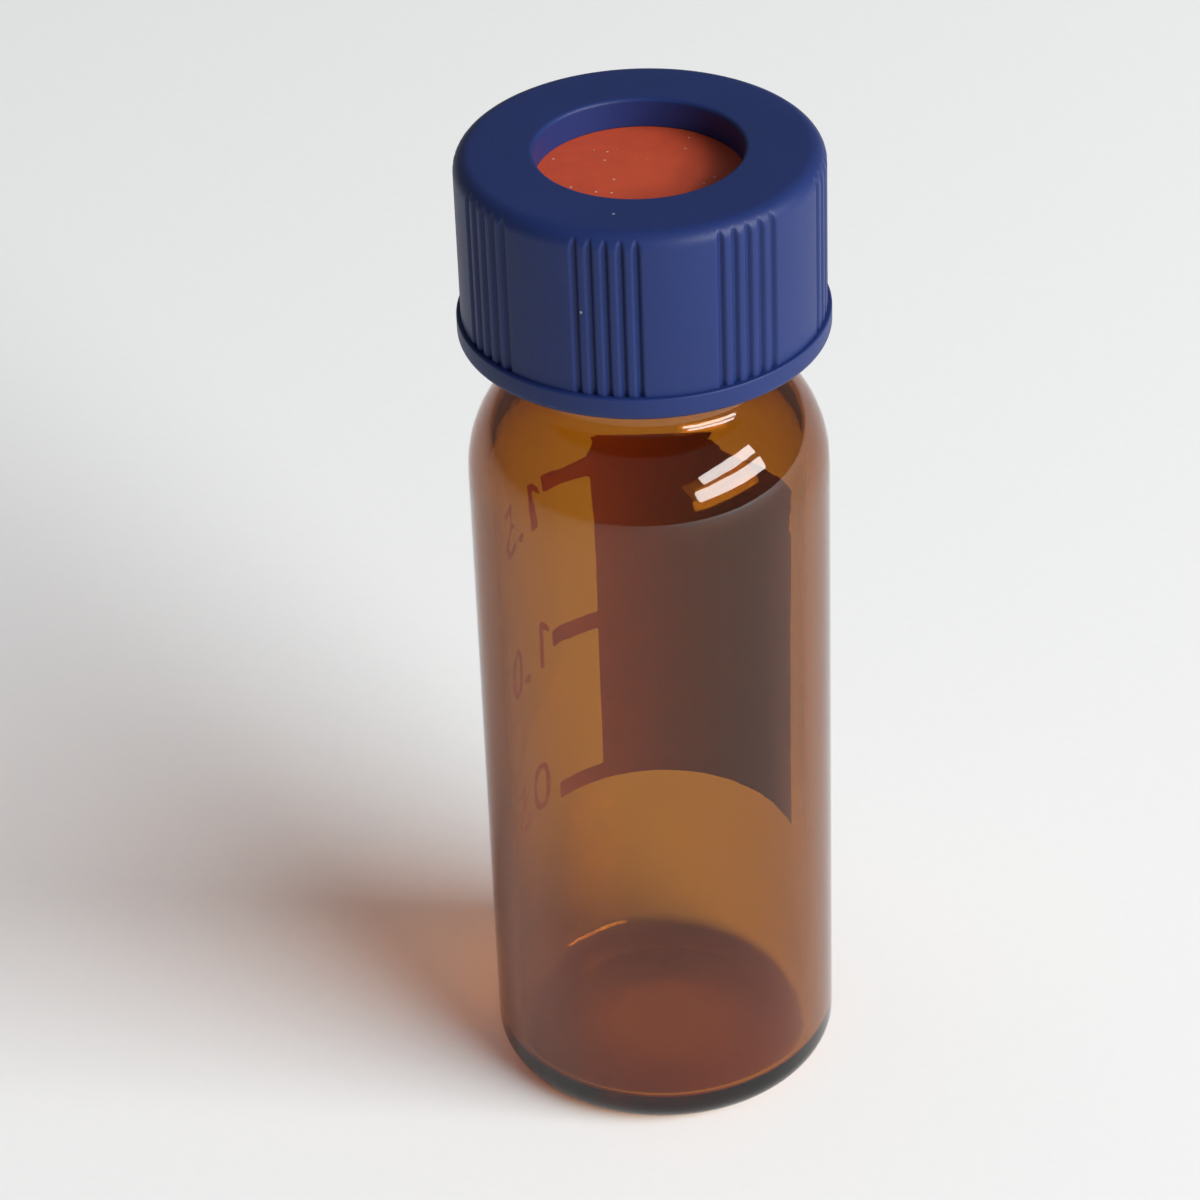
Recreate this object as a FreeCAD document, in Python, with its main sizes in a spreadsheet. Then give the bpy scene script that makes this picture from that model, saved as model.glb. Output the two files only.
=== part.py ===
import FreeCAD, Part
import math
import os
import Sketcher

# Amber glass sample vial, closed by an open-top screw cap over a faced septum.
# Millimetres. The origin is the centre of the foot and +Z runs up the common axis.

# Driving sizes, each with what it measures. Angles are in degrees.
SIZES = {
    "vial_height": (32.0, "vial, foot to rim"),
    "body_radius": (5.8, "outside of the straight glass wall"),
    "wall": (0.8, "thickness of the straight glass wall"),
    "base_thickness": (1.2, "floor above the foot"),
    "base_corner": (1.0, "rounding between foot and wall"),
    "foot_width": (0.9, "flat ring that the vial stands on"),
    "floor_bevel": (0.9, "bevel between floor and wall, inside"),
    "push_up": (0.35, "rise of the middle of the base"),
    "push_up_crown": (1.6, "radius of the level middle of the base"),
    "push_up_blend": (14.0, "rounding between crown and slope of the base"),
    "shoulder_slope": (50.0, "angle between the shoulder's slope and the axis"),
    "shoulder_round": (4.0, "rounding between wall and shoulder"),
    "neck_length": (5.5, "rim down to where shoulder and neck lines cross"),
    "neck_radius": (3.9, "outside of the neck at the root of its thread"),
    "neck_wall": (1.0, "thickness of the neck at the root of its thread"),
    "neck_round": (0.8, "rounding between shoulder and neck"),
    "rim_bevel": (0.3, "softened edges of the rim"),
    "facing_thickness": (0.1, "film on the sample side of the septum"),
    "silicone_thickness": (1.2, "rubber disc of the septum"),
    "septum_clearance": (0.05, "room round the septum in the cap"),
    "thread_room": (0.65, "radial room for the thread between neck and skirt"),
    "skirt_wall": (1.16, "thickness of the cap's skirt"),
    "lead_in": (0.25, "bevel at the mouth of the skirt"),
    "cap_height": (6.3, "cap, bottom of the flange to top"),
    "lid_thickness": (1.0, "top wall of the cap"),
    "cap_edge": (0.55, "softened top edge of the cap, in two bevels"),
    "window_radius": (3.25, "open middle of the cap's top"),
    "window_bevel": (0.15, "softened upper edge of the window"),
    "flange_step": (0.18, "flange beyond the skirt"),
    "flange_height": (0.8, "height of the flange"),
    "flange_bevel": (0.08, "softened edges of the flange"),
    "groove_depth": (0.16, "grip groove, skirt to bottom"),
    "groove_width": (0.3, "grip groove at the skirt"),
    "groove_step": (4.8, "angle from one groove to the next"),
    "grooves_per_group": (5, "grooves side by side"),
    "grip_groups": (8, "groups of grooves round the cap"),
    "grip_turn": (23.9, "angle of the first groove about the axis"),
}

# Places that several pieces share, worked out from the driving sizes.
HALF_SLOPE = "(Size.shoulder_slope / 2 * 1 deg)"
SLOPE = "(Size.shoulder_slope * 1 deg)"
INNER_RADIUS = "(Size.body_radius - Size.wall)"
BORE_RADIUS = "(Size.neck_radius - Size.neck_wall)"
NECK_CORNER = "(Size.vial_height - Size.neck_length)"
SHOULDER_CORNER = f"({NECK_CORNER} - (Size.body_radius - Size.neck_radius) / tan{SLOPE})"
BORE_CORNER = f"({NECK_CORNER} - Size.neck_wall * tan{HALF_SLOPE})"
INNER_CORNER = f"({BORE_CORNER} - ({INNER_RADIUS} - {BORE_RADIUS}) / tan{SLOPE})"
CAP_BORE = "(Size.neck_radius + Size.thread_room)"
CAP_RADIUS = f"({CAP_BORE} + Size.skirt_wall)"
FLANGE_RADIUS = f"({CAP_RADIUS} + Size.flange_step)"
SEPTUM_RADIUS = f"({CAP_BORE} - Size.septum_clearance)"
SILICONE_BOTTOM = "(Size.vial_height + Size.facing_thickness)"
SEAT = f"({SILICONE_BOTTOM} + Size.silicone_thickness)"
CAP_BOTTOM = f"({SEAT} + Size.lid_thickness - Size.cap_height)"

# Largest share of a slope that the rounding at one of its ends may take.
OUTER_SHARES = (0.78, 0.20)
INNER_SHARES = (0.60, 0.38)
PUSH_UP_SHARE = 0.90

# Share of the cap's top edge where its steep bevel gives way to the flat one.
EDGE_BREAK = 0.3

UP = FreeCAD.Vector(0, 0, 1)
SAME_POINT = 1e-6


def driving_sheet(doc):
    """Spreadsheet with one named cell for each driving size."""
    sheet = doc.addObject("Spreadsheet::Sheet", "Size")
    for row, (alias, (size, meaning)) in enumerate(SIZES.items(), start=1):
        sheet.set(f"A{row}", meaning)
        sheet.set(f"B{row}", str(size))
        sheet.setAlias(f"B{row}", alias)
    doc.recompute()
    return sheet


def value(sheet, formula):
    """Number that a formula has for the present sizes."""
    return float(sheet.evalExpression(formula))


def tie(sketch, sheet, sizes):
    """Add named sizes to a sketch, each from (kind, where, name, formula), and bind them to the sheet."""
    made = [Sketcher.Constraint(kind, *where, value(sheet, formula)) for kind, where, _, formula in sizes]
    for index, (_, _, name, formula) in zip(sketch.addConstraint(made), sizes):
        sketch.renameConstraint(index, name)
        sketch.setExpression(f"Constraints.{name}", formula)


def origin_plane(body, role):
    """One of the body's own origin planes."""
    return next(plane for plane in body.Origin.OriginFeatures if plane.Role == role)


def new_sketch(body, name, role):
    """Empty sketch on one of the body's origin planes."""
    sketch = body.newObject("Sketcher::SketchObject", name)
    sketch.AttachmentSupport = (origin_plane(body, role), "")
    sketch.MapMode = "FlatFace"
    return sketch


def rounded_corner(before, corner, after, radius):
    """Start, middle and end of the arc that rounds a corner."""
    back = (before - corner).normalize()
    ahead = (after - corner).normalize()
    half_angle = back.getAngle(ahead) / 2
    inward = (back + ahead).normalize()
    reach = radius / math.tan(half_angle)
    middle = corner + inward * (radius / math.sin(half_angle) - radius)
    return corner + back * reach, middle, corner + ahead * reach


def corner_place(handle, tag, across, up):
    """What holds a corner of an outline: the axis or the foot plane, or sizes of the sheet."""
    held = []
    sizes = []
    for axis, kind, name, formula in ((-2, "DistanceX", "across", across), (-1, "DistanceY", "up", up)):
        if formula == "0":
            held.append(Sketcher.Constraint("PointOnObject", *handle, axis))
        else:
            sizes.append((kind, (-1, 1, *handle), f"{name}{tag}", formula))
    return held, sizes


def outline(body, sheet, name, corners):
    """Closed half section in the XZ plane, from corners of (across, up, rounding) formulas."""
    sketch = new_sketch(body, name, "XZ_Plane")
    count = len(corners)
    points = [FreeCAD.Vector(value(sheet, across), value(sheet, up), 0) for across, up, _ in corners]
    arcs = {}
    for i, (_, _, rounding) in enumerate(corners):
        if rounding:
            radius = value(sheet, rounding)
            arcs[i] = rounded_corner(points[i - 1], points[i], points[(i + 1) % count], radius)

    # One line from each corner to the next, stopping where a rounding takes over.
    for i in range(count):
        j = (i + 1) % count
        start = arcs[i][2] if i in arcs else points[i]
        end = arcs[j][0] if j in arcs else points[j]
        sketch.addGeometry(Part.LineSegment(start, end), False)

    joins = []
    sizes = []
    for i, (across, up, rounding) in enumerate(corners):
        line_in, line_out = (i - 1) % count, i
        handle = (line_out, 1)
        if i in arcs:
            arc = sketch.addGeometry(Part.Arc(*arcs[i]), False)
            runs_ahead = sketch.getPoint(arc, 1).distanceToPoint(arcs[i][0]) < SAME_POINT
            first, last = (1, 2) if runs_ahead else (2, 1)
            handle = (sketch.addGeometry(Part.Point(points[i]), True), 1)
            joins.append(Sketcher.Constraint("Tangent", line_in, 2, arc, first))
            joins.append(Sketcher.Constraint("Tangent", line_out, 1, arc, last))
            joins.append(Sketcher.Constraint("PointOnObject", *handle, line_in))
            joins.append(Sketcher.Constraint("PointOnObject", *handle, line_out))
            sizes.append(("Radius", (arc,), f"round{i}", rounding))
        else:
            joins.append(Sketcher.Constraint("Coincident", line_in, 2, *handle))
        held, placed = corner_place(handle, i, across, up)
        joins += held
        sizes += placed
    sketch.addConstraint(joins)
    tie(sketch, sheet, sizes)
    return sketch


def turned(body, sketch, name):
    """Solid of revolution of a half section about the axis."""
    solid = body.newObject("PartDesign::Revolution", name)
    solid.Profile = sketch
    solid.ReferenceAxis = (sketch, ["V_Axis"])
    solid.Angle = 360
    body.Tip = solid
    return solid


def shared_rounding(size, share, run):
    """Rounding at one end of the shoulder's slope, held to its share of the slope."""
    return f"min({size}; {share} * {run} / tan{HALF_SLOPE})"


def make_vial(doc, sheet):
    """Drawn glass vial: pushed-up base, straight wall, rounded shoulder and short neck."""
    body = doc.addObject("PartDesign::Body", "vial")
    slope_out = f"((Size.body_radius - Size.neck_radius) / sin{SLOPE})"
    slope_in = f"(({INNER_RADIUS} - {BORE_RADIUS}) / sin{SLOPE})"
    foot_inside = "(Size.body_radius - Size.base_corner - Size.foot_width)"
    shoulder_out = shared_rounding("Size.shoulder_round", OUTER_SHARES[0], slope_out)
    neck_out = shared_rounding("Size.neck_round", OUTER_SHARES[1], slope_out)
    shoulder_in = shared_rounding("(Size.shoulder_round - Size.wall)", INNER_SHARES[0], slope_in)
    neck_in = shared_rounding("(Size.neck_round + Size.neck_wall)", INNER_SHARES[1], slope_in)
    push_up_run = f"({foot_inside} - Size.push_up_crown)"
    push_up_angle = f"(atan(Size.push_up / {push_up_run}) / 2)"
    push_up_blend = f"min(Size.push_up_blend; {PUSH_UP_SHARE} * {push_up_run} / tan{push_up_angle})"
    corners = [
        ("0", "Size.push_up", None),
        ("Size.push_up_crown", "Size.push_up", push_up_blend),
        (foot_inside, "0", None),
        ("Size.body_radius", "0", "Size.base_corner"),
        ("Size.body_radius", SHOULDER_CORNER, shoulder_out),
        ("Size.neck_radius", NECK_CORNER, neck_out),
        ("Size.neck_radius", "(Size.vial_height - Size.rim_bevel)", None),
        ("(Size.neck_radius - Size.rim_bevel)", "Size.vial_height", None),
        (f"({BORE_RADIUS} + Size.rim_bevel)", "Size.vial_height", None),
        (BORE_RADIUS, "(Size.vial_height - Size.rim_bevel)", None),
        (BORE_RADIUS, BORE_CORNER, neck_in),
        (INNER_RADIUS, INNER_CORNER, shoulder_in),
        (INNER_RADIUS, "(Size.base_thickness + Size.floor_bevel)", None),
        (f"({INNER_RADIUS} - Size.floor_bevel)", "Size.base_thickness", None),
        ("0", "Size.base_thickness", None),
    ]
    turned(body, outline(body, sheet, "vial_half_section", corners), "vial_glass")
    return body


def cut_grip(doc, sheet, body):
    """Grip of the cap: grooves in groups, from the flange up until the top edge runs them out."""
    smooth_volume = body.Shape.Volume
    bottom = f"({CAP_RADIUS} - Size.groove_depth)"
    beyond = f"({CAP_RADIUS} + Size.groove_depth)"
    sketch = new_sketch(body, "groove_section", "XY_Plane")
    sketch.setExpression("AttachmentOffset.Base.z", "Size.flange_height")
    ends = [(bottom, "0"), (beyond, "-Size.groove_width"), (beyond, "Size.groove_width")]
    points = [FreeCAD.Vector(value(sheet, across), value(sheet, along), 0) for across, along in ends]
    for i in range(len(points)):
        sketch.addGeometry(Part.LineSegment(points[i - 1], points[i]), False)
    sketch.addConstraint([
        Sketcher.Constraint("Coincident", 0, 2, 1, 1),
        Sketcher.Constraint("Coincident", 1, 2, 2, 1),
        Sketcher.Constraint("Coincident", 2, 2, 0, 1),
        Sketcher.Constraint("PointOnObject", 1, 1, -1),
        Sketcher.Constraint("Symmetric", 2, 1, 2, 2, -1),
    ])
    tie(sketch, sheet, [
        ("DistanceX", (-1, 1, 1, 1), "bottom", bottom),
        ("DistanceX", (-1, 1, 2, 2), "beyond", beyond),
        ("DistanceY", (2, 1, 2, 2), "width", "(2 * Size.groove_width)"),
    ])
    groove = body.newObject("PartDesign::Pocket", "grip_groove")
    groove.Profile = sketch
    groove.Type = "ThroughAll"
    groove.Reversed = True
    doc.recompute()

    grip = body.newObject("PartDesign::MultiTransform", "grip")
    grip.Originals = [groove]
    within = body.newObject("PartDesign::PolarPattern", "grooves_in_group")
    around = body.newObject("PartDesign::PolarPattern", "groups_round_cap")
    for pattern in (within, around):
        pattern.Axis = (sketch, ["N_Axis"])
    within.setExpression("Occurrences", "Size.grooves_per_group")
    within.setExpression("Angle", "(Size.grooves_per_group - 1) * Size.groove_step")
    around.setExpression("Occurrences", "Size.grip_groups")
    around.Angle = 360
    grip.Transformations = [within, around]
    body.Tip = grip
    doc.recompute()
    if not body.Shape.Volume < smooth_volume:
        raise RuntimeError("the grip grooves cut nothing")


def make_screw_cap(doc, sheet):
    """Moulded cap: skirt with grip and flange, and a top with an open window over the septum."""
    body = doc.addObject("PartDesign::Body", "screw_cap")
    body.setExpression("Placement.Base.z", CAP_BOTTOM)
    body.setExpression("Placement.Rotation.Angle", "Size.grip_turn * 1 deg")
    seat = "(Size.cap_height - Size.lid_thickness)"
    edge_break = f"({EDGE_BREAK} * Size.cap_edge)"
    corners = [
        ("(Size.window_radius + Size.window_bevel)", "Size.cap_height", None),
        ("Size.window_radius", "(Size.cap_height - Size.window_bevel)", None),
        ("Size.window_radius", seat, None),
        (CAP_BORE, seat, None),
        (CAP_BORE, "Size.lead_in", None),
        (f"({CAP_BORE} + Size.lead_in)", "0", None),
        (f"({FLANGE_RADIUS} - Size.flange_bevel)", "0", None),
        (FLANGE_RADIUS, "Size.flange_bevel", None),
        (FLANGE_RADIUS, "(Size.flange_height - Size.flange_bevel)", None),
        (f"({FLANGE_RADIUS} - Size.flange_bevel)", "Size.flange_height", None),
        (CAP_RADIUS, "Size.flange_height", None),
        (CAP_RADIUS, "(Size.cap_height - Size.cap_edge)", None),
        (f"({CAP_RADIUS} - {edge_break})", f"(Size.cap_height - {edge_break})", None),
        (f"({CAP_RADIUS} - Size.cap_edge)", "Size.cap_height", None),
    ]
    turned(body, outline(body, sheet, "cap_half_section", corners), "smooth_cap")
    doc.recompute()
    cut_grip(doc, sheet, body)
    return body


def make_disc(doc, sheet, name, bottom, thickness):
    """One layer of the septum, punched from sheet."""
    body = doc.addObject("PartDesign::Body", name)
    body.setExpression("Placement.Base.z", bottom)
    sketch = new_sketch(body, f"{name}_outline", "XY_Plane")
    rim = Part.Circle(FreeCAD.Vector(0, 0, 0), UP, value(sheet, SEPTUM_RADIUS))
    circle = sketch.addGeometry(rim, False)
    sketch.addConstraint(Sketcher.Constraint("Coincident", circle, 3, -1, 1))
    tie(sketch, sheet, [("Radius", (circle,), "edge", SEPTUM_RADIUS)])
    disc = body.newObject("PartDesign::Pad", f"{name}_disc")
    disc.Profile = sketch
    disc.setExpression("Length", thickness)
    body.Tip = disc
    return body


def check(doc, bodies):
    """Stop if any feature failed, a sketch is loose or a piece isn't one sound solid."""
    for item in doc.Objects:
        if "Invalid" in item.State or "Error" in item.State:
            raise RuntimeError(f"{item.Label} failed: {item.State}")
        if item.TypeId == "Sketcher::SketchObject" and not item.FullyConstrained:
            raise RuntimeError(f"{item.Label} isn't fully constrained")
    for body in bodies:
        if body.Shape.isNull() or not body.Shape.isValid() or len(body.Shape.Solids) != 1:
            raise RuntimeError(f"{body.Label} isn't one sound solid")


def main():
    doc = FreeCAD.newDocument("sample_vial")
    sheet = driving_sheet(doc)
    bodies = [
        make_vial(doc, sheet),
        make_disc(doc, sheet, "septum_facing", "Size.vial_height", "Size.facing_thickness"),
        make_disc(doc, sheet, "septum_silicone", SILICONE_BOTTOM, "Size.silicone_thickness"),
        make_screw_cap(doc, sheet),
    ]
    doc.recompute()
    check(doc, bodies)
    os.makedirs("parts", exist_ok=True)
    for body in bodies:
        body.Shape.exportStep(f"parts/{body.Label}.step")
        box = body.Shape.optimalBoundingBox()
        print(f"{body.Label}: {body.Shape.Volume:.2f} mm3, {box.XLength:.2f} wide, top at {box.ZMax:.2f}")


main()
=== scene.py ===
import math

import bmesh
import bpy
from bpy.props import FloatProperty, FloatVectorProperty, IntProperty, PointerProperty
from mathutils import Matrix, Vector


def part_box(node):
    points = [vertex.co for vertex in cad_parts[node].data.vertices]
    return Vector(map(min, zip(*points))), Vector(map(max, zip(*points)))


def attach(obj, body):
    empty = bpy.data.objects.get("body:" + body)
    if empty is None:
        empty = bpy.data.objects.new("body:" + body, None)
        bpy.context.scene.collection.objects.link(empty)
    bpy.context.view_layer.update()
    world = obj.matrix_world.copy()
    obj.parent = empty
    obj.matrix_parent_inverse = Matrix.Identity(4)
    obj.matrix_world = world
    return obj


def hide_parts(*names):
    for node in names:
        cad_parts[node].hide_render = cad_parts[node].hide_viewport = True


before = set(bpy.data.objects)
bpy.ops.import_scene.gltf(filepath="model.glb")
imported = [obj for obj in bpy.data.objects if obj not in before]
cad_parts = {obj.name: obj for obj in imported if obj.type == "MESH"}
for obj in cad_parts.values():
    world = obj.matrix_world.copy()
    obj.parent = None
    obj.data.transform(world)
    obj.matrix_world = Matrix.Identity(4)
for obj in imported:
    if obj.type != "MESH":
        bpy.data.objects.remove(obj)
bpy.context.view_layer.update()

bl_info = {
    "name": "Amber sample vial",
    "version": (1, 0, 0),
    "blender": (4, 5, 0),
    "location": "3D View > Sidebar > Sample vial",
    "description": "Builds the looks of a capped amber sample vial round its packed CAD frame",
    "category": "Add Mesh",
}

MM = 0.001

# Lowest and highest corners of the CAD nodes, which the pieces keep to.
_, VIAL_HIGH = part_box("vial")
CAP_LOW, CAP_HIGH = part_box("screw_cap")
SILICONE_LOW, SILICONE_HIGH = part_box("septum_silicone")


def linear(hex_colour):
    """Linear RGB of an sRGB hex colour."""
    shares = [int(hex_colour[i:i + 2], 16) / 255 for i in (1, 3, 5)]
    return tuple(c / 12.92 if c <= 0.04045 else ((c + 0.055) / 1.055) ** 2.4 for c in shares)


def length(name, description, default):
    """Property that holds a size in metres."""
    return FloatProperty(name=name, description=description, default=default, unit="LENGTH", precision=5)


def degrees(name, description, default):
    """Property that holds an angle, given in degrees."""
    return FloatProperty(name=name, description=description, default=math.radians(default), subtype="ANGLE")


def colour(name, description, hex_colour):
    """Property that holds a colour, given as sRGB hex."""
    return FloatVectorProperty(
        name=name, description=description, default=linear(hex_colour), subtype="COLOR", min=0, max=1
    )


class GlassSizes(bpy.types.PropertyGroup):
    """Sizes of the glass vial."""

    body_radius: length("Body radius", "Outside of the straight wall", VIAL_HIGH.x)
    height: length("Height", "Foot to rim", VIAL_HIGH.z)
    wall: length("Wall", "Thickness of the straight wall", 0.8 * MM)
    floor: length("Floor", "Inside floor above the foot", 0.8 * MM)
    floor_round: length("Floor rounding", "Rounding between floor and wall, inside", 0.45 * MM)
    base_round: length("Base rounding", "Rounding between foot and wall", 1.0 * MM)
    foot_width: length("Foot width", "Flat ring that the vial stands on", 0.9 * MM)
    push_up: length("Push-up", "Rise of the middle of the base", 0.35 * MM)
    crown_radius: length("Crown radius", "Level middle of the base", 1.6 * MM)
    crown_round: length("Crown rounding", "Bend between the crown and the push-up's slope", 6.0 * MM)
    foot_round: length("Foot rounding", "Bend between the push-up's slope and the foot", 1.2 * MM)
    slope: degrees("Shoulder slope", "Angle between the shoulder's slope and the axis", 50)
    shoulder_round: length("Shoulder rounding", "Rounding between wall and shoulder", 4.0 * MM)
    neck_length: length("Neck length", "Rim down to where shoulder and neck lines cross", 5.5 * MM)
    neck_radius: length("Neck radius", "Outside of the neck at the root of its thread", 3.9 * MM)
    neck_wall: length("Neck wall", "Thickness of the neck at the root of its thread", 1.0 * MM)
    neck_round: length("Neck rounding", "Rounding between shoulder and neck", 0.8 * MM)
    rim_round: length("Rim rounding", "Fire-polished edges of the rim", 0.36 * MM)


class ThreadSizes(bpy.types.PropertyGroup):
    """Sizes of the screw thread between neck and cap."""

    pitch: length("Pitch", "Rise of the thread in one turn", 1.8 * MM)
    start: length("Start", "Height of the lower end of the neck's bead above the foot", 28.5 * MM)
    turns: FloatProperty(name="Turns", description="Turns of the neck's bead", default=1.5)
    tall: length("Bead height", "Bead beyond the neck", 0.5 * MM)
    wide: length("Bead width", "Bead along the axis, at its root", 0.95 * MM)
    cap_drop: length("Cap bead drop", "Cap's bead below the neck's bead", 0.88 * MM)
    cap_turns: FloatProperty(name="Cap turns", description="Turns of the cap's bead", default=1.7)
    cap_tall: length("Cap bead height", "Bead inwards from the bore", 0.48 * MM)
    cap_wide: length("Cap bead width", "Bead along the axis, at its root", 0.75 * MM)


class CapSizes(bpy.types.PropertyGroup):
    """Sizes of the screw cap."""

    bottom: length("Bottom", "Bottom of the flange above the foot of the vial", CAP_LOW.z)
    top: length("Top", "Top of the cap above the foot of the vial", CAP_HIGH.z)
    flange_radius: length("Flange radius", "Outside of the flange", 5.89 * MM)
    flange_height: length("Flange height", "Height of the flange", 0.8 * MM)
    flange_round: length("Flange rounding", "Rounding of the flange's lower edge", 0.28 * MM)
    skirt_radius: length("Skirt radius", "Outside of the skirt between the grooves", 5.75 * MM)
    bore_radius: length("Bore radius", "Inside of the skirt at the root of its thread", 4.55 * MM)
    lid: length("Lid", "Thickness of the top wall", 1.0 * MM)
    edge_round: length("Edge rounding", "Rounding of the top edge", 0.55 * MM)
    window_radius: length("Window radius", "Open middle of the lid", 3.25 * MM)
    window_round: length("Window rounding", "Rounding of the window's upper edge", 0.14 * MM)
    small_round: length("Small rounding", "Rounding of the remaining edges", 0.06 * MM)
    lead_in: length("Lead-in", "Bevel at the mouth of the skirt", 0.25 * MM)
    groove_depth: length("Groove depth", "Grip groove, skirt to bottom", 0.13 * MM)
    groove_width: length("Groove width", "Grip groove at the skirt", 0.33 * MM)
    groove_step: degrees("Groove step", "Angle from one groove to the next", 4.8)
    grooves: IntProperty(name="Grooves", description="Grooves side by side in a group", default=5)
    groups: IntProperty(name="Groups", description="Groups of grooves round the cap", default=8)
    grip_turn: degrees("Grip turn", "Angle of the middle of the first group about the axis", 33.5)


class SeptumSizes(bpy.types.PropertyGroup):
    """Sizes of the septum's rubber disc."""

    radius: length("Radius", "Edge of the disc", 4.5 * MM)
    bottom: length("Bottom", "Lower face above the foot of the vial", SILICONE_LOW.z)
    top: length("Top", "Upper face above the foot of the vial", SILICONE_HIGH.z)
    bulge: length("Bulge", "Rise of the middle, where the rim squeezes the disc", 0.07 * MM)
    edge_round: length("Edge rounding", "Rounding that the punch leaves", 0.06 * MM)


class PrintSizes(bpy.types.PropertyGroup):
    """Sizes of the enamel print on the far side of the wall. Angles run from +Y towards +X."""

    thickness: length("Thickness", "Fired enamel above the glass", 0.02 * MM)
    sunk: length("Sunk", "Fired enamel below the surface of the glass", 0.008 * MM)
    patch_from: degrees("Patch from", "Edge of the marking patch next to the scale", -22)
    patch_to: degrees("Patch to", "Far edge of the marking patch", 69.5)
    patch_top: length("Patch top", "Upper edge of the patch above the foot", 20.62 * MM)
    corner: length("Corner", "Rounding of the print's corners", 0.1 * MM)
    tab_to: degrees("Tab to", "Outer end of the scale's tabs", -43.5)
    tab_height: length("Tab height", "Height of each tab", 0.66 * MM)
    half_millilitre: length("Half a millilitre", "Top of the lowest tab above the foot", 7.72 * MM)
    tab_step: length("Tab step", "Rise of half a millilitre in the straight bore", 6.366 * MM)
    numbers_from: degrees("Numbers from", "Where each number begins", -49.5)
    numbers_middle: length("Numbers middle", "Middle of the second number above the foot", 13.85 * MM)
    numbers_step: length("Numbers step", "From one number up to the next", 5.63 * MM)
    digit_height: length("Digit height", "Height of the digits", 1.9 * MM)
    number_width: length("Number width", "Width of each number", 2.95 * MM)


class Finishes(bpy.types.PropertyGroup):
    """Colours of the materials."""

    glass: colour("Glass", "What a little amber glass lets through", "#eacf22")
    glass_density: FloatProperty(name="Glass density", description="Absorption per metre", default=3100)
    polypropylene: colour("Polypropylene", "Moulded cap", "#182757")
    silicone: colour("Silicone", "Rubber of the septum", "#b04429")
    film: colour("Film", "PTFE facing of the septum", "#e8e6e0")
    enamel: colour("Enamel", "Fired print", "#f6f2ea")
    dust: colour("Dust", "Lint and dust on cap and septum", "#c9c3bd")
    board: colour("Board", "Floor of the stage", "#e6e7e7")


class SampleVial(bpy.types.PropertyGroup):
    """All settings of the sample vial."""

    glass: PointerProperty(type=GlassSizes)
    thread: PointerProperty(type=ThreadSizes)
    cap: PointerProperty(type=CapSizes)
    septum: PointerProperty(type=SeptumSizes)
    print: PointerProperty(type=PrintSizes)
    finish: PointerProperty(type=Finishes)


# Meshes

GLASS_RING = 288               # vertices round the vial
SEPTUM_RING = 144              # vertices round the septum
ARC_TURN = math.radians(9)     # turn from one point of a rounding to the next
LEAST_ARC = 4                  # runs in the smallest rounding
LONG_STEP = 0.5 * MM           # longest run along a plain wall
DISC_STEP = 0.25 * MM          # longest run across the septum
THREAD_STEP = 0.07 * MM        # longest run along a threaded wall
SHARP = math.radians(50)       # edges sharper than this stay crisp
TOUCHING = 1e-7                # places nearer than this, in metres, are one place


def smooth(share):
    """Soft step from 0 to 1."""
    held = min(max(share, 0.0), 1.0)
    return held * held * (3 - 2 * held)


def rounding(before, corner, after, radius):
    """Points of the arc that rounds a corner of an outline."""
    back = (before - corner).normalized()
    ahead = (after - corner).normalized()
    half = back.angle(ahead) / 2
    centre = corner + (back + ahead).normalized() * (radius / math.sin(half))
    start = corner + back * (radius / math.tan(half)) - centre
    end = corner + ahead * (radius / math.tan(half)) - centre
    sweep = math.pi - 2 * half
    runs = max(LEAST_ARC, math.ceil(sweep / ARC_TURN))
    shares = [i / runs for i in range(runs + 1)]
    return [centre + (start * math.sin((1 - s) * sweep) + end * math.sin(s * sweep)) / math.sin(sweep)
            for s in shares]


def outline(corners, closed=False):
    """Points along an outline, from corners of (across, up, rounding), or of None for a sharp corner."""
    places = [Vector((across, up)) for across, up, _ in corners]
    points = []
    for i, (_, _, radius) in enumerate(corners):
        if radius:
            points += rounding(places[i - 1], places[i], places[(i + 1) % len(places)], radius)
        else:
            points.append(places[i])
    if closed:
        points.append(points[0])
    return points


def divided(points, step_at):
    """The outline with its long runs divided; step_at gives the longest run allowed round a middle."""
    rows = [points[0]]
    for start, end in zip(points, points[1:]):
        runs = max(1, math.ceil((end - start).length / step_at((start + end) / 2)))
        rows += [start.lerp(end, (i + 1) / runs) for i in range(runs)]
    return rows


def turned_mesh(name, rows, angles, shape=None):
    """Mesh swept round the axis from rows of (radius, height); shape may change a radius with the angle."""
    closed = (rows[0] - rows[-1]).length < TOUCHING
    rows = rows[:-1] if closed else rows
    vertices = []
    rings = []
    for radius, height in rows:
        first = len(vertices)
        if radius < TOUCHING:
            vertices.append((0, 0, height))
        else:
            for angle in angles:
                reach = shape(radius, height, angle) if shape else radius
                vertices.append((reach * math.cos(angle), reach * math.sin(angle), height))
        rings.append(range(first, len(vertices)))

    faces = []
    for low, high in zip(rings, rings[1:] + (rings[:1] if closed else [])):
        for i in range(len(angles)):
            j = (i + 1) % len(angles)
            corners = [low[i % len(low)], low[j % len(low)], high[j % len(high)], high[i % len(high)]]
            faces.append(list(dict.fromkeys(corners)))
    mesh = bpy.data.meshes.new(name)
    mesh.from_pydata(vertices, [], faces)
    return mesh


def finished(mesh):
    """The mesh with its faces turned outwards and its rounded faces shaded smooth."""
    built = bmesh.new()
    built.from_mesh(mesh)
    bmesh.ops.recalc_face_normals(built, faces=built.faces)
    built.to_mesh(mesh)
    built.free()
    mesh.shade_smooth()
    mesh.set_sharp_from_angle(angle=SHARP)
    return mesh


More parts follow.
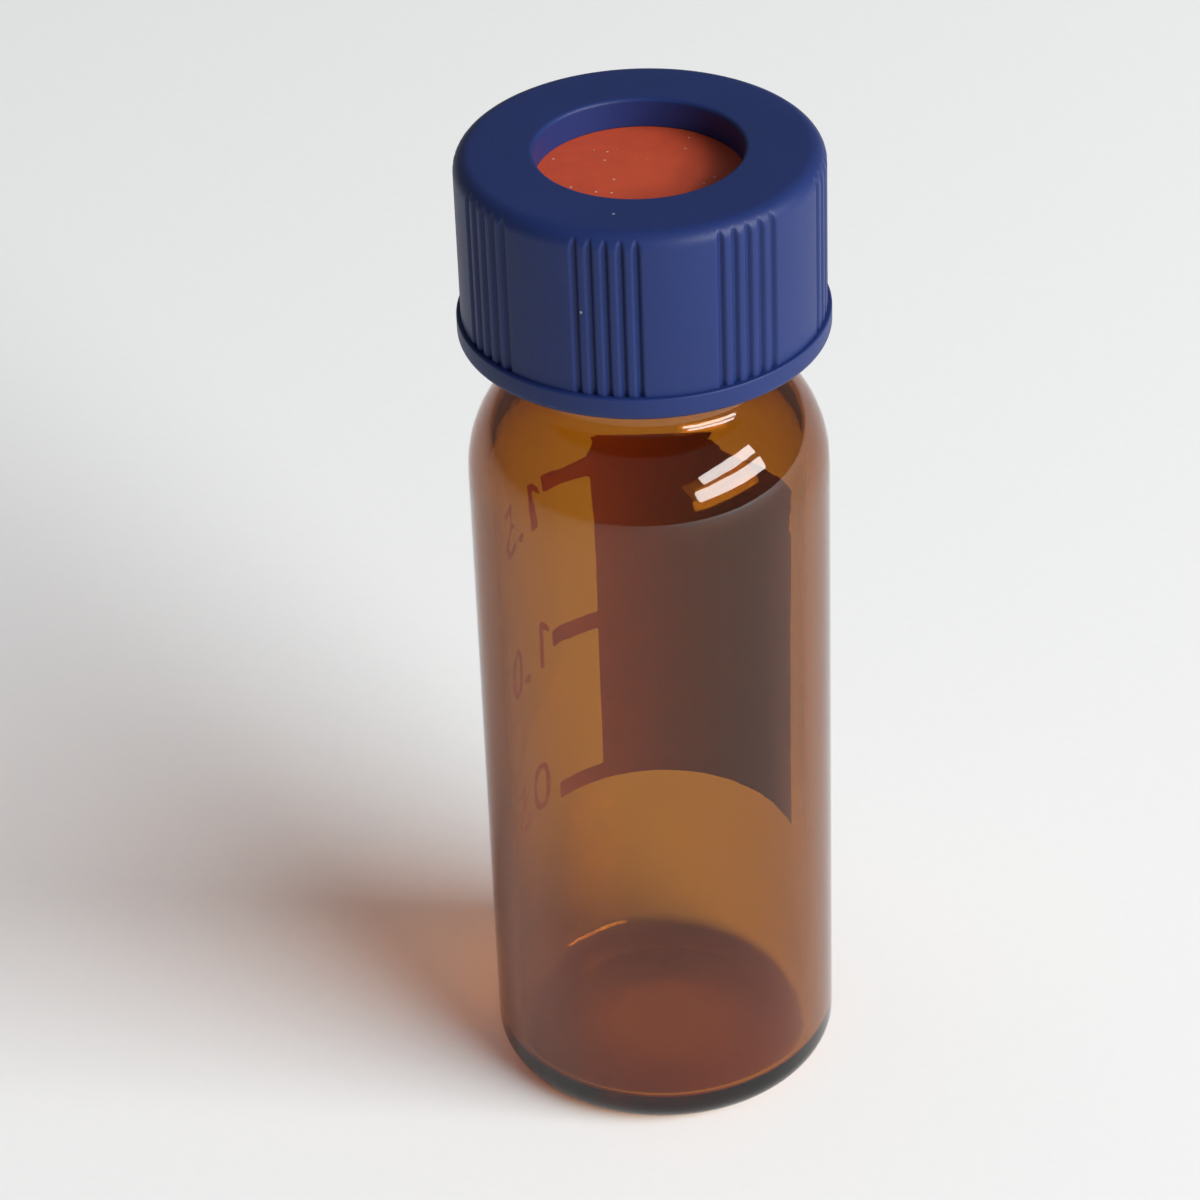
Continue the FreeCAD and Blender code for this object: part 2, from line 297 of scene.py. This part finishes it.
def place(mesh, material, body, node=None):
    """Show a mesh as a piece that rides on a body, has a finish and may stand for a CAD node."""
    piece = bpy.data.objects.new(mesh.name, mesh)
    bpy.context.scene.collection.objects.link(piece)
    mesh.materials.append(material)
    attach(piece, body)
    if node:
        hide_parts(node)
    return piece


def even_angles(count):
    """Angles of equal steps round the axis."""
    return [2 * math.pi * i / count for i in range(count)]


def bead(angle, height, start, turns, pitch, tall, wide):
    """How far a helical bead stands out at an angle and a height. It fades in and out at its ends."""
    fade = 0.12     # turns in which an end rises
    flank = 0.7     # share of the half width that slopes
    reach = 0.0
    for whole in range(math.ceil(turns) + 1):
        along = angle / (2 * math.pi) + whole
        off = abs(height - start - pitch * along) / (wide / 2)
        if along <= turns and off < 1:
            ends = smooth(along / fade) * smooth((turns - along) / fade)
            reach = max(reach, tall * ends * smooth((1 - off) / flank))
    return reach


def glass_rows(glass):
    """Half section of the vial, from the middle of the foot over the rim to the middle of the floor."""
    run = math.tan(glass.slope / 2)
    inner = glass.body_radius - glass.wall
    bore = glass.neck_radius - glass.neck_wall
    neck_corner = glass.height - glass.neck_length
    shoulder_corner = neck_corner - (glass.body_radius - glass.neck_radius) / math.tan(glass.slope)
    bore_corner = neck_corner - glass.neck_wall * run
    inner_corner = bore_corner - (inner - bore) / math.tan(glass.slope)
    foot_inside = glass.body_radius - glass.base_round - glass.foot_width
    corners = [
        (0, glass.push_up, None),
        (glass.crown_radius, glass.push_up, glass.crown_round),
        (foot_inside, 0, glass.foot_round),
        (glass.body_radius, 0, glass.base_round),
        (glass.body_radius, shoulder_corner, glass.shoulder_round),
        (glass.neck_radius, neck_corner, glass.neck_round),
        (glass.neck_radius, glass.height, glass.rim_round),
        (bore, glass.height, glass.rim_round),
        (bore, bore_corner, glass.neck_round + glass.neck_wall),
        (inner, inner_corner, glass.shoulder_round - glass.wall),
        (inner, glass.floor, glass.floor_round),
        (0, glass.floor, None),
    ]

    def step_at(middle):
        threaded = middle.y > neck_corner + glass.neck_round and middle.x > bore + glass.neck_wall / 2
        return THREAD_STEP if threaded else LONG_STEP

    return divided(outline(corners), step_at)


class MakeGlass(bpy.types.Operator):
    """Make the drawn amber vial with its pushed-up base, round shoulder and threaded neck"""

    bl_idname = "sample_vial.make_glass"
    bl_label = "Glass vial"

    def execute(self, context):
        glass = context.scene.sample_vial.glass
        thread = context.scene.sample_vial.thread
        neck_corner = glass.height - glass.neck_length
        middle_of_neck = glass.neck_radius - glass.neck_wall / 2

        def threaded(radius, height, angle):
            if height < neck_corner or radius < middle_of_neck:
                return radius
            return radius + bead(
                angle, height, thread.start, thread.turns, thread.pitch, thread.tall, thread.wide
            )

        mesh = turned_mesh("glass_vial", glass_rows(glass), even_angles(GLASS_RING), threaded)
        place(finished(mesh), amber_glass(context.scene.sample_vial.finish), "vial", "vial")
        return {"FINISHED"}


def cap_rows(cap):
    """Section of the cap's wall, as a closed outline."""
    seat = cap.top - cap.lid
    ledge = cap.bottom + cap.flange_height
    corners = [
        (cap.window_radius, cap.top, cap.window_round),
        (cap.window_radius, seat, cap.small_round),
        (cap.bore_radius, seat, cap.small_round),
        (cap.bore_radius, cap.bottom + cap.lead_in, cap.small_round),
        (cap.bore_radius + cap.lead_in, cap.bottom, cap.small_round),
        (cap.flange_radius, cap.bottom, cap.flange_round),
        (cap.flange_radius, ledge, cap.small_round),
        (cap.skirt_radius, ledge, None),
        (cap.skirt_radius, cap.top, cap.edge_round),
    ]

    def step_at(middle):
        threaded = abs(middle.x - cap.bore_radius) < cap.small_round
        return THREAD_STEP if threaded else LONG_STEP

    return divided(outline(corners, closed=True), step_at)


def cap_angles(cap):
    """Angles round the cap, close together across the grip grooves and wider on the lands between them."""
    steps_in_groove = 12
    steps_on_land = 10
    steps_in_grip = steps_in_groove * cap.grooves
    group = 2 * math.pi / cap.groups
    grip = cap.grooves * cap.groove_step
    land = group - grip
    angles = []
    for k in range(cap.groups):
        start = cap.grip_turn + k * group - grip / 2
        angles += [start + grip * i / steps_in_grip for i in range(steps_in_grip)]
        angles += [start + grip + land * i / steps_on_land for i in range(steps_on_land)]
    return angles


def groove(cap, angle):
    """Depth of the grip at an angle round the cap."""
    group = 2 * math.pi / cap.groups
    in_group = (angle - cap.grip_turn + group / 2) % group - group / 2
    last = (cap.grooves - 1) / 2
    nearest = min(max(round(in_group / cap.groove_step), -last), last)
    off = abs(in_group - nearest * cap.groove_step) * cap.skirt_radius / (cap.groove_width / 2)
    return cap.groove_depth * math.cos(off * math.pi / 2) ** 2 if off < 1 else 0.0


class MakeCap(bpy.types.Operator):
    """Make the moulded screw cap with its grip grooves, flange, window and inner thread"""

    bl_idname = "sample_vial.make_cap"
    bl_label = "Screw cap"

    def execute(self, context):
        cap = context.scene.sample_vial.cap
        thread = context.scene.sample_vial.thread
        ledge = cap.bottom + cap.flange_height
        middle_of_skirt = (cap.bore_radius + cap.skirt_radius) / 2
        start = thread.start - thread.cap_drop

        def moulded(radius, height, angle):
            on_skirt = middle_of_skirt < radius < cap.skirt_radius + TOUCHING
            if on_skirt and height > ledge - TOUCHING:
                return min(radius, cap.skirt_radius - groove(cap, angle))
            if abs(radius - cap.bore_radius) > cap.small_round:
                return radius
            turn = angle % (2 * math.pi)
            return radius - bead(
                turn, height, start, thread.cap_turns, thread.pitch, thread.cap_tall, thread.cap_wide
            )

        mesh = turned_mesh("open_top_screw_cap", cap_rows(cap), cap_angles(cap), moulded)
        finish = context.scene.sample_vial.finish
        place(finished(mesh), blue_polypropylene(finish), "cap", "screw_cap")
        return {"FINISHED"}


class MakeSeptum(bpy.types.Operator):
    """Make the septum's rubber disc and finish the film under it"""

    bl_idname = "sample_vial.make_septum"
    bl_label = "Septum"

    def execute(self, context):
        septum = context.scene.sample_vial.septum
        window = context.scene.sample_vial.cap.window_radius
        corners = [
            (0, septum.bottom, None),
            (septum.radius, septum.bottom, septum.edge_round),
            (septum.radius, septum.top, septum.edge_round),
            (0, septum.top, None),
        ]
        middle = (septum.bottom + septum.top) / 2
        rows = divided(outline(corners), lambda middle_of_run: DISC_STEP)
        for row in rows:
            if row.y > middle and row.x < window:
                row.y += septum.bulge * math.cos(row.x / window * math.pi / 2) ** 2
        mesh = turned_mesh("septum_rubber_disc", rows, even_angles(SEPTUM_RING))
        finish = context.scene.sample_vial.finish
        place(finished(mesh), red_silicone(finish), "septum", "septum_silicone")
        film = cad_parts["septum_facing"].data.materials
        film.clear()
        film.append(ptfe_film(finish))
        return {"FINISHED"}


# Enamel print

SCALE = ("0.5", "1.0", "1.5")   # numbers in millilitres, lowest first
PRINT_STEP = math.radians(2)    # widest strip of print that stays flat when it is bent round the wall
ON_CUT = 1e-8                   # points nearer than this to a cut, in metres, are on it


def flat_mesh(name, drawing):
    """Flat mesh of a 2D curve or text."""
    holder = bpy.data.objects.new(name, drawing)
    bpy.context.scene.collection.objects.link(holder)
    bpy.context.view_layer.update()
    mesh = bpy.data.meshes.new_from_object(holder.evaluated_get(bpy.context.evaluated_depsgraph_get()))
    bpy.data.objects.remove(holder)
    if not mesh.polygons:
        raise RuntimeError(f"{name} has no faces to print")
    return mesh


def filled_loop(name, loop):
    """Flat mesh that fills a closed loop of 2D points."""
    drawing = bpy.data.curves.new(name, "CURVE")
    drawing.dimensions = "2D"
    drawing.fill_mode = "BOTH"
    spline = drawing.splines.new("POLY")
    spline.points.add(len(loop) - 1)
    for point, (across, up) in zip(spline.points, loop):
        point.co = (across, up, 0, 1)
    spline.use_cyclic_u = True
    return flat_mesh(name, drawing)


def add_flag(digits, edge, middle, height):
    """Add the slanted flag of a 1 to flat digits, beside the upper end of the first digit's edge."""
    # Across and up, in shares of the digit's height.
    corners = [(0, 0.48), (0, 0.32), (0.2, 0.16), (0.2, 0.3)]
    spots = [(edge + across * height, middle + up * height, 0) for across, up in corners]
    built = bmesh.new()
    built.from_mesh(digits)
    built.faces.new([built.verts.new(spot) for spot in spots])
    built.to_mesh(digits)
    built.free()


def wrapped(mesh, name, glass, sizes):
    """A flat print, with across as metres of arc from +Y, bent round the wall and given its thickness."""
    outside = glass.body_radius
    built = bmesh.new()
    built.from_mesh(mesh)
    bmesh.ops.remove_doubles(built, verts=built.verts, dist=TOUCHING)
    left = min(v.co.x for v in built.verts)
    right = max(v.co.x for v in built.verts)
    step = PRINT_STEP * outside
    for i in range(math.ceil(left / step), math.ceil(right / step)):
        everything = built.verts[:] + built.edges[:] + built.faces[:]
        cut = (i * step, 0, 0)
        bmesh.ops.bisect_plane(built, geom=everything, dist=ON_CUT, plane_co=cut, plane_no=(1, 0, 0))
    built.verts.index_update()
    spots = [(v.co.x / outside, v.co.y) for v in built.verts]
    under = [[v.index for v in face.verts] for face in built.faces]
    edges = [[v.index for v in edge.verts] for edge in built.edges if edge.is_boundary]
    built.free()

    vertices = []
    for reach in (outside - sizes.sunk, outside + sizes.thickness):
        vertices += [(reach * math.sin(angle), reach * math.cos(angle), height) for angle, height in spots]
    over = [[i + len(spots) for i in face] for face in under]
    walls = [[a, b, b + len(spots), a + len(spots)] for a, b in edges]
    solid = bpy.data.meshes.new(name)
    solid.from_pydata(vertices, [], under + over + walls)
    return finished(solid)


def patch_loop(glass, sizes):
    """Outline of the marking patch with its tabs, unrolled: across from +Y and up from the foot."""
    outside = glass.body_radius
    left, edge, right = (a * outside for a in (sizes.tab_to, sizes.patch_from, sizes.patch_to))
    tops = [sizes.half_millilitre + k * sizes.tab_step for k in range(len(SCALE))]
    bottom = tops[0] - sizes.tab_height
    loop = [(right, bottom), (right, sizes.patch_top), (edge, sizes.patch_top)]
    for tab_top in reversed(tops):
        tab_bottom = tab_top - sizes.tab_height
        loop += [(edge, tab_top), (left, tab_top), (left, tab_bottom), (edge, tab_bottom)]
    # The lowest tab runs on into the patch's lower edge, so its last corner isn't one.
    loop.pop()
    return [tuple(p) for p in outline([(across, up, sizes.corner) for across, up in loop])]


def flat_number(number, edge, middle, sizes):
    """Flat mesh of a number that begins at an edge and runs against the angle, to be read from outside."""
    lettering = bpy.data.curves.new("digits", "FONT")
    lettering.body = number
    digits = flat_mesh("flat_digits", lettering)
    low = [min(v.co[axis] for v in digits.vertices) for axis in (0, 1)]
    high = [max(v.co[axis] for v in digits.vertices) for axis in (0, 1)]
    for vertex in digits.vertices:
        share = (vertex.co.x - low[0]) / (high[0] - low[0])
        rise = (vertex.co.y - low[1]) / (high[1] - low[1]) - 0.5
        vertex.co = (edge - share * sizes.number_width, middle + rise * sizes.digit_height, 0)
    if number.startswith("1"):
        add_flag(digits, edge, middle, sizes.digit_height)
    return digits


class MakePrint(bpy.types.Operator):
    """Make the fired enamel print: the marking patch with the scale's tabs, and the scale's numbers"""

    bl_idname = "sample_vial.make_print"
    bl_label = "Enamel print"

    def execute(self, context):
        settings = context.scene.sample_vial
        glass, sizes = settings.glass, settings.print
        enamel = fired_enamel(settings.finish)
        flat = filled_loop("flat_patch", patch_loop(glass, sizes))
        place(wrapped(flat, "enamel_patch", glass, sizes), enamel, "vial")

        edge = sizes.numbers_from * glass.body_radius
        for k, number in enumerate(SCALE):
            middle = sizes.numbers_middle + sizes.numbers_step * (k - 1)
            digits = flat_number(number, edge, middle, sizes)
            name = "enamel_number_" + number.replace(".", "_")
            place(wrapped(digits, name, glass, sizes), enamel, "vial")
        return {"FINISHED"}


# Materials

def add_node(tree, kind, settings=None, values=None, links=None):
    """Add a node, set its settings and its sockets' values, and link outputs to its sockets."""
    node = tree.nodes.new(kind)
    for name, setting in (settings or {}).items():
        setattr(node, name, setting)
    for socket, held in (values or {}).items():
        node.inputs[socket].default_value = held
    for socket, source in (links or {}).items():
        tree.links.new(source, node.inputs[socket])
    return node


def new_material(name):
    """Empty node material, with its tree and the piece's own coordinates in metres."""
    material = bpy.data.materials.new(name)
    material.use_nodes = True
    material.node_tree.nodes.clear()
    coordinates = add_node(material.node_tree, "ShaderNodeTexCoord").outputs["Object"]
    return material, material.node_tree, coordinates


def per_metre(size):
    """Texture scale that gives features of a size."""
    return 1 / size


def opaque(rgb):
    """Colour with full alpha, as sockets take it."""
    return (*rgb, 1.0)


def mottled(tree, rgb, pattern, darkest, lightest):
    """Colour output of a colour that a pattern makes a little darker and lighter."""
    shade = add_node(tree, "ShaderNodeMapRange", values={"To Min": darkest, "To Max": lightest},
                     links={"Value": pattern})
    return add_node(tree, "ShaderNodeMix", {"data_type": "RGBA", "blend_type": "MULTIPLY"},
                    {0: 1.0, 6: opaque(rgb)}, {7: shade.outputs["Result"]}).outputs[2]


def dusted(tree, at, base, finish, spacing, speck, share):
    """Colour output of a base colour with pale specks of dust of a real size in a share of its cells."""
    cells = add_node(tree, "ShaderNodeTexVoronoi", values={"Scale": per_metre(spacing)},
                     links={"Vector": at})
    edge = speck / spacing      # a speck's radius, in cells
    core = 0.6 * edge           # where its soft edge ends
    cover = 0.5                 # how much of the base it hides
    near = add_node(tree, "ShaderNodeMapRange", values={
        "From Min": edge, "From Max": core, "To Min": 0.0, "To Max": cover,
    }, links={"Value": cells.outputs["Distance"]})
    picked = add_node(tree, "ShaderNodeMath", {"operation": "LESS_THAN"}, {1: share},
                      {0: cells.outputs["Color"]})
    shown = add_node(tree, "ShaderNodeMath", {"operation": "MULTIPLY"},
                     links={0: near.outputs["Result"], 1: picked.outputs["Value"]})
    return add_node(tree, "ShaderNodeMix", {"data_type": "RGBA"}, {7: opaque(finish.dust)},
                    {0: shown.outputs["Value"], 6: base}).outputs[2]


def amber_glass(finish):
    """Amber borosilicate glass, drawn and fire polished: clear, glossy, with faint lines along the draw."""
    material, tree, at = new_material("amber_borosilicate_glass_drawn")
    drawn = add_node(tree, "ShaderNodeMapping", values={
        "Scale": (per_metre(1.1 * MM), per_metre(1.1 * MM), per_metre(16 * MM)),
    }, links={"Vector": at})
    lines = add_node(tree, "ShaderNodeTexNoise", values={"Scale": 1.0, "Detail": 2.0, "Roughness": 0.5},
                     links={"Vector": drawn.outputs["Vector"]})
    ripple = add_node(tree, "ShaderNodeBump", values={"Strength": 1.0, "Distance": 0.007 * MM},
                      links={"Height": lines.outputs["Fac"]})
    surface = add_node(tree, "ShaderNodeBsdfPrincipled", values={
        "Base Color": (1, 1, 1, 1), "Roughness": 0.0, "IOR": 1.5, "Transmission Weight": 1.0,
    }, links={"Normal": ripple.outputs["Normal"]})
    tint = add_node(tree, "ShaderNodeVolumeAbsorption", values={
        "Color": opaque(finish.glass), "Density": finish.glass_density,
    })
    # The lamps' light goes straight through and lights the floor and the print in amber.
    passed = 0.77       # what the surfaces don't turn back
    straight = add_node(tree, "ShaderNodeBsdfTransparent", values={"Color": opaque([passed] * 3)})
    path = add_node(tree, "ShaderNodeLightPath")
    lit = add_node(tree, "ShaderNodeMixShader", links={
        0: path.outputs["Is Shadow Ray"], 1: surface.outputs["BSDF"], 2: straight.outputs["BSDF"],
    })
    add_node(tree, "ShaderNodeOutputMaterial", links={
        "Surface": lit.outputs["Shader"], "Volume": tint.outputs["Volume"],
    })
    return material


def blue_polypropylene(finish):
    """Blue polypropylene, injection moulded: satin, with a fine eroded grain and a little dust."""
    material, tree, at = new_material("blue_polypropylene_moulded")
    clouds = add_node(tree, "ShaderNodeTexNoise", values={"Scale": per_metre(2.5 * MM), "Detail": 3.0},
                      links={"Vector": at})
    base = mottled(tree, finish.polypropylene, clouds.outputs["Fac"], 0.9, 1.1)
    specked = dusted(tree, at, base, finish, spacing=1.1 * MM, speck=0.07 * MM, share=0.3)
    # The eroded grain is about 0.03 mm; drawn at 0.09 mm so that it shows.
    grain = add_node(tree, "ShaderNodeTexNoise", values={"Scale": per_metre(0.09 * MM), "Detail": 2.0},
                     links={"Vector": at})
    gloss = add_node(tree, "ShaderNodeMapRange", values={"To Min": 0.38, "To Max": 0.54},
                     links={"Value": grain.outputs["Fac"]})
    skin = add_node(tree, "ShaderNodeBump", values={"Strength": 0.35, "Distance": 0.012 * MM},
                    links={"Height": grain.outputs["Fac"]})
    surface = add_node(tree, "ShaderNodeBsdfPrincipled", values={
        "IOR": 1.49, "Specular IOR Level": 0.28,
    }, links={
        "Base Color": specked, "Roughness": gloss.outputs["Result"], "Normal": skin.outputs["Normal"],
    })
    add_node(tree, "ShaderNodeOutputMaterial", links={"Surface": surface.outputs["BSDF"]})
    return material


def red_silicone(finish):
    """Brick red silicone rubber, calendered and punched: matte, faintly mottled, and it holds dust."""
    material, tree, at = new_material("red_silicone_rubber_calendered")
    mottle = add_node(tree, "ShaderNodeTexNoise", values={"Scale": per_metre(0.7 * MM), "Detail": 4.0},
                      links={"Vector": at})
    base = mottled(tree, finish.silicone, mottle.outputs["Fac"], 0.84, 1.14)
    specked = dusted(tree, at, base, finish, spacing=0.4 * MM, speck=0.05 * MM, share=0.55)
    skin = add_node(tree, "ShaderNodeBump", values={"Strength": 0.3, "Distance": 0.02 * MM},
                    links={"Height": mottle.outputs["Fac"]})
    surface = add_node(tree, "ShaderNodeBsdfPrincipled", values={"IOR": 1.41, "Roughness": 0.6}, links={
        "Base Color": specked, "Normal": skin.outputs["Normal"],
    })
    add_node(tree, "ShaderNodeOutputMaterial", links={"Surface": surface.outputs["BSDF"]})
    return material


def ptfe_film(finish):
    """PTFE film, skived from a billet: milky and satin, with fine lines from the knife."""
    material, tree, at = new_material("ptfe_film_skived")
    drawn = add_node(tree, "ShaderNodeMapping", values={
        "Scale": (per_metre(0.06 * MM), per_metre(3 * MM), per_metre(3 * MM)),
    }, links={"Vector": at})
    lines = add_node(tree, "ShaderNodeTexNoise", values={"Scale": 1.0, "Detail": 1.0},
                     links={"Vector": drawn.outputs["Vector"]})
    base = mottled(tree, finish.film, lines.outputs["Fac"], 0.93, 1.0)
    surface = add_node(tree, "ShaderNodeBsdfPrincipled", values={"IOR": 1.35, "Roughness": 0.4},
                       links={"Base Color": base})
    add_node(tree, "ShaderNodeOutputMaterial", links={"Surface": surface.outputs["BSDF"]})
    return material


def fired_enamel(finish):
    """White glass enamel, screen printed and fired: chalky white, with fine pores."""
    material, tree, at = new_material("white_glass_enamel_fired")
    # The pores are about 0.03 mm; drawn at 0.12 mm so that they show.
    pores = add_node(tree, "ShaderNodeTexNoise", values={"Scale": per_metre(0.12 * MM), "Detail": 3.0},
                     links={"Vector": at})
    base = mottled(tree, finish.enamel, pores.outputs["Fac"], 0.86, 1.04)
    skin = add_node(tree, "ShaderNodeBump", values={"Strength": 0.4, "Distance": 0.006 * MM},
                    links={"Height": pores.outputs["Fac"]})
    surface = add_node(tree, "ShaderNodeBsdfPrincipled", values={
        "IOR": 1.5, "Roughness": 0.5, "Specular IOR Level": 0.1,
    }, links={"Base Color": base, "Normal": skin.outputs["Normal"]})
    add_node(tree, "ShaderNodeOutputMaterial", links={"Surface": surface.outputs["BSDF"]})
    return material


def pale_board(finish):
    """Matt laminated board: pale, even, with a faint grain."""
    material, tree, at = new_material("pale_board_matt_laminate")
    grain = add_node(tree, "ShaderNodeTexNoise", values={"Scale": per_metre(0.5 * MM), "Detail": 3.0},
                     links={"Vector": at})
    base = mottled(tree, finish.board, grain.outputs["Fac"], 0.985, 1.015)
    surface = add_node(tree, "ShaderNodeBsdfPrincipled", values={
        "Roughness": 0.8, "Specular IOR Level": 0.2,
    }, links={"Base Color": base})
    add_node(tree, "ShaderNodeOutputMaterial", links={"Surface": surface.outputs["BSDF"]})
    return material


# Stage

FLOOR_HALF = 2.0                      # half a side of the square floor, in metres
FLOOR_GAP = 0.01 * MM                 # air under the foot, so that glass and floor don't share a plane
ROOM_COLOUR = "#e9f0f8"
ROOM_STRENGTH = 0.24
LAMP_COLOUR = "#fffdfb"
LAMP_DISTANCE = 0.9                   # from the vial, in metres
LAMP_AIM = Vector((0, 0, 17 * MM))    # middle of the vial

# Camera, fitted to the outline in the photograph. Turns are in radians.
CAMERA_PLACE = (0.0, -117.65 * MM, 95.82 * MM)
CAMERA_PITCH = -0.5861
CAMERA_YAW = -0.0148
CAMERA_ROLL = -0.0394
CAMERA_CLIP = 1 * MM
SENSOR = 36.0                         # in millimetres, as Blender counts it
FOCAL_PIXELS = 4312.8
IMAGE_PIXELS = 1200


def add_floor(scene):
    """Pale floor that the vial stands on."""
    corners = [(-1, -1), (1, -1), (1, 1), (-1, 1)]
    board = bpy.data.meshes.new("floor")
    places = [(x * FLOOR_HALF, y * FLOOR_HALF, -FLOOR_GAP) for x, y in corners]
    board.from_pydata(places, [], [(0, 1, 2, 3)])
    board.materials.append(pale_board(scene.sample_vial.finish))
    floor = bpy.data.objects.new("floor", board)
    scene.collection.objects.link(floor)


def add_lamp(scene, name, azimuth, elevation, size, power):
    """Rectangular lamp that faces the vial: degrees from -Y towards +X, degrees up, metres, watts."""
    lamp = bpy.data.lights.new(name, "AREA")
    lamp.shape = "RECTANGLE"
    lamp.size, lamp.size_y = size
    lamp.energy = power
    lamp.color = linear(LAMP_COLOUR)
    turn = math.radians(azimuth)
    rise = math.radians(elevation)
    away = Vector((math.cos(rise) * math.sin(turn), -math.cos(rise) * math.cos(turn), math.sin(rise)))
    holder = bpy.data.objects.new(name, lamp)
    holder.location = LAMP_AIM + LAMP_DISTANCE * away
    holder.rotation_euler = (-away).to_track_quat("-Z", "Y").to_euler()
    scene.collection.objects.link(holder)
    return holder


def add_light(scene):
    """Pale room, and a window of two panes with a curtain, to the right of the camera."""
    scene.view_settings.view_transform = "Standard"
    scene.world = bpy.data.worlds.new("pale_room")
    scene.world.use_nodes = True
    sky = scene.world.node_tree.nodes["Background"]
    sky.inputs["Color"].default_value = opaque(linear(ROOM_COLOUR))
    sky.inputs["Strength"].default_value = ROOM_STRENGTH
    add_lamp(scene, "window_upper_pane", azimuth=60, elevation=34, size=(0.66, 0.13), power=4.2)
    add_lamp(scene, "window_lower_pane", azimuth=56, elevation=21, size=(0.81, 0.17), power=6.6)
    curtain = add_lamp(scene, "window_curtain", azimuth=58, elevation=30, size=(0.8, 0.5), power=6.8)
    # The curtain softens the shadow; only the panes show as glints on the glass.
    curtain.visible_glossy = False


def add_camera(scene):
    """Camera at the photograph's angle."""
    camera = bpy.data.cameras.new("camera")
    camera.sensor_width = SENSOR
    camera.lens = FOCAL_PIXELS / IMAGE_PIXELS * SENSOR
    camera.clip_start = CAMERA_CLIP
    yaw = Matrix.Rotation(-CAMERA_YAW, 4, "Z")
    pitch = Matrix.Rotation(math.pi / 2 + CAMERA_PITCH, 4, "X")
    roll = Matrix.Rotation(CAMERA_ROLL, 4, "Z")
    holder = bpy.data.objects.new("camera", camera)
    holder.matrix_world = Matrix.Translation(CAMERA_PLACE) @ yaw @ pitch @ roll
    scene.collection.objects.link(holder)
    scene.camera = holder


class MakeStage(bpy.types.Operator):
    """Set the pale floor, the soft light and the camera"""

    bl_idname = "sample_vial.make_stage"
    bl_label = "Stage"

    def execute(self, context):
        add_floor(context.scene)
        add_light(context.scene)
        add_camera(context.scene)
        return {"FINISHED"}


class SampleVialPanel(bpy.types.Panel):
    """Sidebar panel with the vial's sizes, its colours and one button for each piece"""

    bl_idname = "VIEW3D_PT_sample_vial"
    bl_label = "Sample vial"
    bl_space_type = "VIEW_3D"
    bl_region_type = "UI"
    bl_category = "Sample vial"

    def draw(self, context):
        for group in ("glass", "thread", "cap", "septum", "print", "finish"):
            box = self.layout.box()
            box.label(text=group.capitalize())
            settings = getattr(context.scene.sample_vial, group)
            for name in settings.__annotations__:
                box.prop(settings, name)
        for operator in OPERATORS:
            self.layout.operator(operator.bl_idname)


OPERATORS = (MakeGlass, MakeCap, MakeSeptum, MakePrint, MakeStage)
GROUPS = (GlassSizes, ThreadSizes, CapSizes, SeptumSizes, PrintSizes, Finishes, SampleVial)


def register():
    """Register the classes and hang the settings on the scene."""
    for item in (*GROUPS, *OPERATORS, SampleVialPanel):
        bpy.utils.register_class(item)
    bpy.types.Scene.sample_vial = PointerProperty(type=SampleVial)


def unregister():
    """Take the settings off the scene and the classes away."""
    del bpy.types.Scene.sample_vial
    for item in reversed((*GROUPS, *OPERATORS, SampleVialPanel)):
        bpy.utils.unregister_class(item)


def main():
    """Make every piece and the stage."""
    register()
    bpy.ops.sample_vial.make_glass()
    bpy.ops.sample_vial.make_cap()
    bpy.ops.sample_vial.make_septum()
    bpy.ops.sample_vial.make_print()
    bpy.ops.sample_vial.make_stage()


if __name__ == "__main__":
    main()
